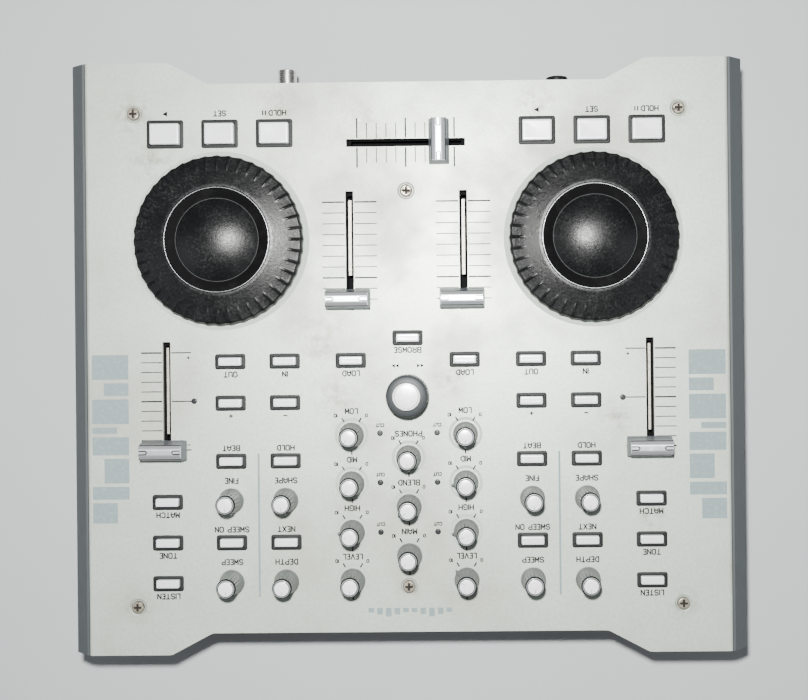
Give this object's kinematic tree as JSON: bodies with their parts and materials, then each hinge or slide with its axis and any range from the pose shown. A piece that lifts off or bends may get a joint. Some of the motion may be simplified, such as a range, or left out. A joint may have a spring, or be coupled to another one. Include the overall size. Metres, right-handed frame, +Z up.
{
  "type": "dj controller",
  "caption": "Desk-top DJ controller with scalloped jog wheels, straight faders, rotary knobs, push keys and jack sockets in a recessed light panel.",
  "frame": {"origin": "middle of the casing, in the rest plane under the rubber feet", "axes": "+X to the player's right, +Y away from the player towards the rear sockets, +Z up out of the panel"},
  "size_m": [0.3126, 0.2751, 0.061],
  "materials": {
    "panel_paint": "satin light silver-grey paint with a fine grain",
    "case_paint": "matt black powder coat",
    "cheek_plastic": "fine-textured grey moulding",
    "screw_steel": "plated steel, a little rusty",
    "foot_rubber": "soft black rubber",
    "bezel_plastic": "dark grey moulding",
    "board_laminate": "green glass-fibre laminate",
    "track_steel": "folded plated steel",
    "pot_metal": "bright die-cast alloy",
    "switch_plastic": "black moulding",
    "lamp_lens": "smoky clear lens, unlit",
    "socket_metal": "nickel-plated brass",
    "axle_steel": "turned steel",
    "jog_plastic": "black moulding, worn and dusty",
    "fader_cap_plastic": "silver-painted moulding",
    "knob_plastic": "grey moulding with a silver-white top",
    "key_plastic": "silver-white painted moulding"
  },
  "bodies": {
    "casing": {"top_panel": "panel_paint", "bottom_case": "case_paint", "side_cheek_left": "cheek_plastic", "side_cheek_right": "cheek_plastic", "casing_screws": "screw_steel", "rubber_feet": "foot_rubber", "key_bezels": "bezel_plastic", "control_board": "board_laminate", "fader_tracks": "track_steel", "rotary_pots": "pot_metal", "key_switches": "switch_plastic", "indicator_lamps": "lamp_lens", "sockets": "socket_metal", "jog_bearings": "axle_steel"},
    "jog_wheel_left": {"jog_wheel_left": "jog_plastic"},
    "jog_wheel_right": {"jog_wheel_right": "jog_plastic"},
    "crossfader_cap": {"crossfader_cap": "fader_cap_plastic"},
    "line_fader_cap_left": {"line_fader_cap_left": "fader_cap_plastic"},
    "pitch_fader_cap_left": {"pitch_fader_cap_left": "fader_cap_plastic"},
    "line_fader_cap_right": {"line_fader_cap_right": "fader_cap_plastic"},
    "pitch_fader_cap_right": {"pitch_fader_cap_right": "fader_cap_plastic"},
    "phones_volume_knob": {"phones_volume_knob": "knob_plastic"},
    "phones_mix_knob": {"phones_mix_knob": "knob_plastic"},
    "master_volume_knob": {"master_volume_knob": "knob_plastic"},
    "bass_knob_left": {"bass_knob_left": "knob_plastic"},
    "mid_knob_left": {"mid_knob_left": "knob_plastic"},
    "treble_knob_left": {"treble_knob_left": "knob_plastic"},
    "gain_knob_left": {"gain_knob_left": "knob_plastic"},
    "parameter_knob_left": {"parameter_knob_left": "knob_plastic"},
    "fine_pitch_knob_left": {"fine_pitch_knob_left": "knob_plastic"},
    "effect_knob_left": {"effect_knob_left": "knob_plastic"},
    "filter_knob_left": {"filter_knob_left": "knob_plastic"},
    "bass_knob_right": {"bass_knob_right": "knob_plastic"},
    "mid_knob_right": {"mid_knob_right": "knob_plastic"},
    "treble_knob_right": {"treble_knob_right": "knob_plastic"},
    "gain_knob_right": {"gain_knob_right": "knob_plastic"},
    "parameter_knob_right": {"parameter_knob_right": "knob_plastic"},
    "fine_pitch_knob_right": {"fine_pitch_knob_right": "knob_plastic"},
    "effect_knob_right": {"effect_knob_right": "knob_plastic"},
    "filter_knob_right": {"filter_knob_right": "knob_plastic"},
    "track_knob": {"track_knob": "knob_plastic"},
    "directory_key": {"directory_key": "key_plastic"},
    "load_key_left": {"load_key_left": "key_plastic"},
    "loop_keys_left": {"loop_keys_left": "key_plastic"},
    "bend_keys_left": {"bend_keys_left": "key_plastic"},
    "tap_keys_left": {"tap_keys_left": "key_plastic"},
    "filter_keys_left": {"filter_keys_left": "key_plastic"},
    "sync_keys_left": {"sync_keys_left": "key_plastic"},
    "load_key_right": {"load_key_right": "key_plastic"},
    "loop_keys_right": {"loop_keys_right": "key_plastic"},
    "bend_keys_right": {"bend_keys_right": "key_plastic"},
    "tap_keys_right": {"tap_keys_right": "key_plastic"},
    "filter_keys_right": {"filter_keys_right": "key_plastic"},
    "sync_keys_right": {"sync_keys_right": "key_plastic"},
    "play_key_left": {"play_key_left": "key_plastic"},
    "set_cue_key_left": {"set_cue_key_left": "key_plastic"},
    "cue_key_left": {"cue_key_left": "key_plastic"},
    "play_key_right": {"play_key_right": "key_plastic"},
    "set_cue_key_right": {"set_cue_key_right": "key_plastic"},
    "cue_key_right": {"cue_key_right": "key_plastic"}
  },
  "joints": [
    {"name": "jog_wheel_left_spin", "type": "hinge", "parent": "casing", "child": "jog_wheel_left", "pos_m": [-0.0863, -0.0544, 0.045], "axis": [0, 0, 1], "continuous": true},
    {"name": "jog_wheel_right_spin", "type": "hinge", "parent": "casing", "child": "jog_wheel_right", "pos_m": [0.0863, -0.0544, 0.045], "axis": [0, 0, 1], "continuous": true},
    {"name": "crossfader_slide", "type": "slide", "parent": "casing", "child": "crossfader_cap", "axis": [1, 0, 0], "range_m": [-0.0071, 0.0379]},
    {"name": "line_fader_left_slide", "type": "slide", "parent": "casing", "child": "line_fader_cap_left", "axis": [0, 1, 0], "range_m": [-0.045, 0]},
    {"name": "pitch_fader_left_slide", "type": "slide", "parent": "casing", "child": "pitch_fader_cap_left", "axis": [0, 1, 0], "range_m": [-0.045, 0]},
    {"name": "line_fader_right_slide", "type": "slide", "parent": "casing", "child": "line_fader_cap_right", "axis": [0, 1, 0], "range_m": [-0.045, 0]},
    {"name": "pitch_fader_right_slide", "type": "slide", "parent": "casing", "child": "pitch_fader_cap_right", "axis": [0, 1, 0], "range_m": [-0.045, 0]},
    {"name": "phones_volume_knob_turn", "type": "hinge", "parent": "casing", "child": "phones_volume_knob", "pos_m": [0, 0.0465, 0.045], "axis": [0, 0, 1], "range_deg": [-150, 150]},
    {"name": "phones_mix_knob_turn", "type": "hinge", "parent": "casing", "child": "phones_mix_knob", "pos_m": [0, 0.0691, 0.045], "axis": [0, 0, 1], "range_deg": [-100, 200]},
    {"name": "master_volume_knob_turn", "type": "hinge", "parent": "casing", "child": "master_volume_knob", "pos_m": [0, 0.0917, 0.045], "axis": [0, 0, 1], "range_deg": [-105, 195]},
    {"name": "bass_knob_left_turn", "type": "hinge", "parent": "casing", "child": "bass_knob_left", "pos_m": [-0.0263, 0.0359, 0.045], "axis": [0, 0, 1], "range_deg": [-150, 150]},
    {"name": "mid_knob_left_turn", "type": "hinge", "parent": "casing", "child": "mid_knob_left", "pos_m": [-0.0263, 0.0583, 0.045], "axis": [0, 0, 1], "range_deg": [-70, 230]},
    {"name": "treble_knob_left_turn", "type": "hinge", "parent": "casing", "child": "treble_knob_left", "pos_m": [-0.0263, 0.0807, 0.045], "axis": [0, 0, 1], "range_deg": [-70, 230]},
    {"name": "gain_knob_left_turn", "type": "hinge", "parent": "casing", "child": "gain_knob_left", "pos_m": [-0.0263, 0.1031, 0.045], "axis": [0, 0, 1], "range_deg": [-20, 280]},
    {"name": "parameter_knob_left_turn", "type": "hinge", "parent": "casing", "child": "parameter_knob_left", "pos_m": [-0.0821, 0.0657, 0.045], "axis": [0, 0, 1], "range_deg": [-150, 150]},
    {"name": "fine_pitch_knob_left_turn", "type": "hinge", "parent": "casing", "child": "fine_pitch_knob_left", "pos_m": [-0.0569, 0.0657, 0.045], "axis": [0, 0, 1], "range_deg": [-150, 150]},
    {"name": "effect_knob_left_turn", "type": "hinge", "parent": "casing", "child": "effect_knob_left", "pos_m": [-0.0821, 0.1033, 0.045], "axis": [0, 0, 1], "range_deg": [-150, 150]},
    {"name": "filter_knob_left_turn", "type": "hinge", "parent": "casing", "child": "filter_knob_left", "pos_m": [-0.0569, 0.1033, 0.045], "axis": [0, 0, 1], "range_deg": [-150, 150]},
    {"name": "bass_knob_right_turn", "type": "hinge", "parent": "casing", "child": "bass_knob_right", "pos_m": [0.0263, 0.0359, 0.045], "axis": [0, 0, 1], "range_deg": [-107, 193]},
    {"name": "mid_knob_right_turn", "type": "hinge", "parent": "casing", "child": "mid_knob_right", "pos_m": [0.0263, 0.0583, 0.045], "axis": [0, 0, 1], "range_deg": [-110, 190]},
    {"name": "treble_knob_right_turn", "type": "hinge", "parent": "casing", "child": "treble_knob_right", "pos_m": [0.0263, 0.0807, 0.045], "axis": [0, 0, 1], "range_deg": [-65, 235]},
    {"name": "gain_knob_right_turn", "type": "hinge", "parent": "casing", "child": "gain_knob_right", "pos_m": [0.0263, 0.1031, 0.045], "axis": [0, 0, 1], "range_deg": [-150, 150]},
    {"name": "parameter_knob_right_turn", "type": "hinge", "parent": "casing", "child": "parameter_knob_right", "pos_m": [0.0569, 0.0657, 0.045], "axis": [0, 0, 1], "range_deg": [-150, 150]},
    {"name": "fine_pitch_knob_right_turn", "type": "hinge", "parent": "casing", "child": "fine_pitch_knob_right", "pos_m": [0.0821, 0.0657, 0.045], "axis": [0, 0, 1], "range_deg": [-150, 150]},
    {"name": "effect_knob_right_turn", "type": "hinge", "parent": "casing", "child": "effect_knob_right", "pos_m": [0.0569, 0.1033, 0.045], "axis": [0, 0, 1], "range_deg": [-150, 150]},
    {"name": "filter_knob_right_turn", "type": "hinge", "parent": "casing", "child": "filter_knob_right", "pos_m": [0.0821, 0.1033, 0.045], "axis": [0, 0, 1], "range_deg": [-150, 150]},
    {"name": "track_knob_turn", "type": "hinge", "parent": "casing", "child": "track_knob", "pos_m": [0, 0.0176, 0.045], "axis": [0, 0, 1], "continuous": true},
    {"name": "directory_key_press", "type": "slide", "parent": "casing", "child": "directory_key", "axis": [0, 0, -1], "range_m": [0, 0.0008], "stiffness_N_per_m": 400, "springref_m": -0.0006},
    {"name": "load_key_left_press", "type": "slide", "parent": "casing", "child": "load_key_left", "axis": [0, 0, -1], "range_m": [0, 0.0008], "stiffness_N_per_m": 400, "springref_m": -0.0006},
    {"name": "loop_keys_left_press", "type": "slide", "parent": "casing", "child": "loop_keys_left", "axis": [0, 0, -1], "range_m": [0, 0.0008], "stiffness_N_per_m": 400, "springref_m": -0.0006},
    {"name": "bend_keys_left_press", "type": "slide", "parent": "casing", "child": "bend_keys_left", "axis": [0, 0, -1], "range_m": [0, 0.0008], "stiffness_N_per_m": 400, "springref_m": -0.0006},
    {"name": "tap_keys_left_press", "type": "slide", "parent": "casing", "child": "tap_keys_left", "axis": [0, 0, -1], "range_m": [0, 0.0008], "stiffness_N_per_m": 400, "springref_m": -0.0006},
    {"name": "filter_keys_left_press", "type": "slide", "parent": "casing", "child": "filter_keys_left", "axis": [0, 0, -1], "range_m": [0, 0.0008], "stiffness_N_per_m": 400, "springref_m": -0.0006},
    {"name": "sync_keys_left_press", "type": "slide", "parent": "casing", "child": "sync_keys_left", "axis": [0, 0, -1], "range_m": [0, 0.0008], "stiffness_N_per_m": 400, "springref_m": -0.0006},
    {"name": "load_key_right_press", "type": "slide", "parent": "casing", "child": "load_key_right", "axis": [0, 0, -1], "range_m": [0, 0.0008], "stiffness_N_per_m": 400, "springref_m": -0.0006},
    {"name": "loop_keys_right_press", "type": "slide", "parent": "casing", "child": "loop_keys_right", "axis": [0, 0, -1], "range_m": [0, 0.0008], "stiffness_N_per_m": 400, "springref_m": -0.0006},
    {"name": "bend_keys_right_press", "type": "slide", "parent": "casing", "child": "bend_keys_right", "axis": [0, 0, -1], "range_m": [0, 0.0008], "stiffness_N_per_m": 400, "springref_m": -0.0006},
    {"name": "tap_keys_right_press", "type": "slide", "parent": "casing", "child": "tap_keys_right", "axis": [0, 0, -1], "range_m": [0, 0.0008], "stiffness_N_per_m": 400, "springref_m": -0.0006},
    {"name": "filter_keys_right_press", "type": "slide", "parent": "casing", "child": "filter_keys_right", "axis": [0, 0, -1], "range_m": [0, 0.0008], "stiffness_N_per_m": 400, "springref_m": -0.0006},
    {"name": "sync_keys_right_press", "type": "slide", "parent": "casing", "child": "sync_keys_right", "axis": [0, 0, -1], "range_m": [0, 0.0008], "stiffness_N_per_m": 400, "springref_m": -0.0006},
    {"name": "play_key_left_press", "type": "slide", "parent": "casing", "child": "play_key_left", "axis": [0, 0, -1], "range_m": [0, 0.001], "stiffness_N_per_m": 400, "springref_m": -0.0006},
    {"name": "set_cue_key_left_press", "type": "slide", "parent": "casing", "child": "set_cue_key_left", "axis": [0, 0, -1], "range_m": [0, 0.001], "stiffness_N_per_m": 400, "springref_m": -0.0006},
    {"name": "cue_key_left_press", "type": "slide", "parent": "casing", "child": "cue_key_left", "axis": [0, 0, -1], "range_m": [0, 0.001], "stiffness_N_per_m": 400, "springref_m": -0.0006},
    {"name": "play_key_right_press", "type": "slide", "parent": "casing", "child": "play_key_right", "axis": [0, 0, -1], "range_m": [0, 0.001], "stiffness_N_per_m": 400, "springref_m": -0.0006},
    {"name": "set_cue_key_right_press", "type": "slide", "parent": "casing", "child": "set_cue_key_right", "axis": [0, 0, -1], "range_m": [0, 0.001], "stiffness_N_per_m": 400, "springref_m": -0.0006},
    {"name": "cue_key_right_press", "type": "slide", "parent": "casing", "child": "cue_key_right", "axis": [0, 0, -1], "range_m": [0, 0.001], "stiffness_N_per_m": 400, "springref_m": -0.0006}
  ]
}
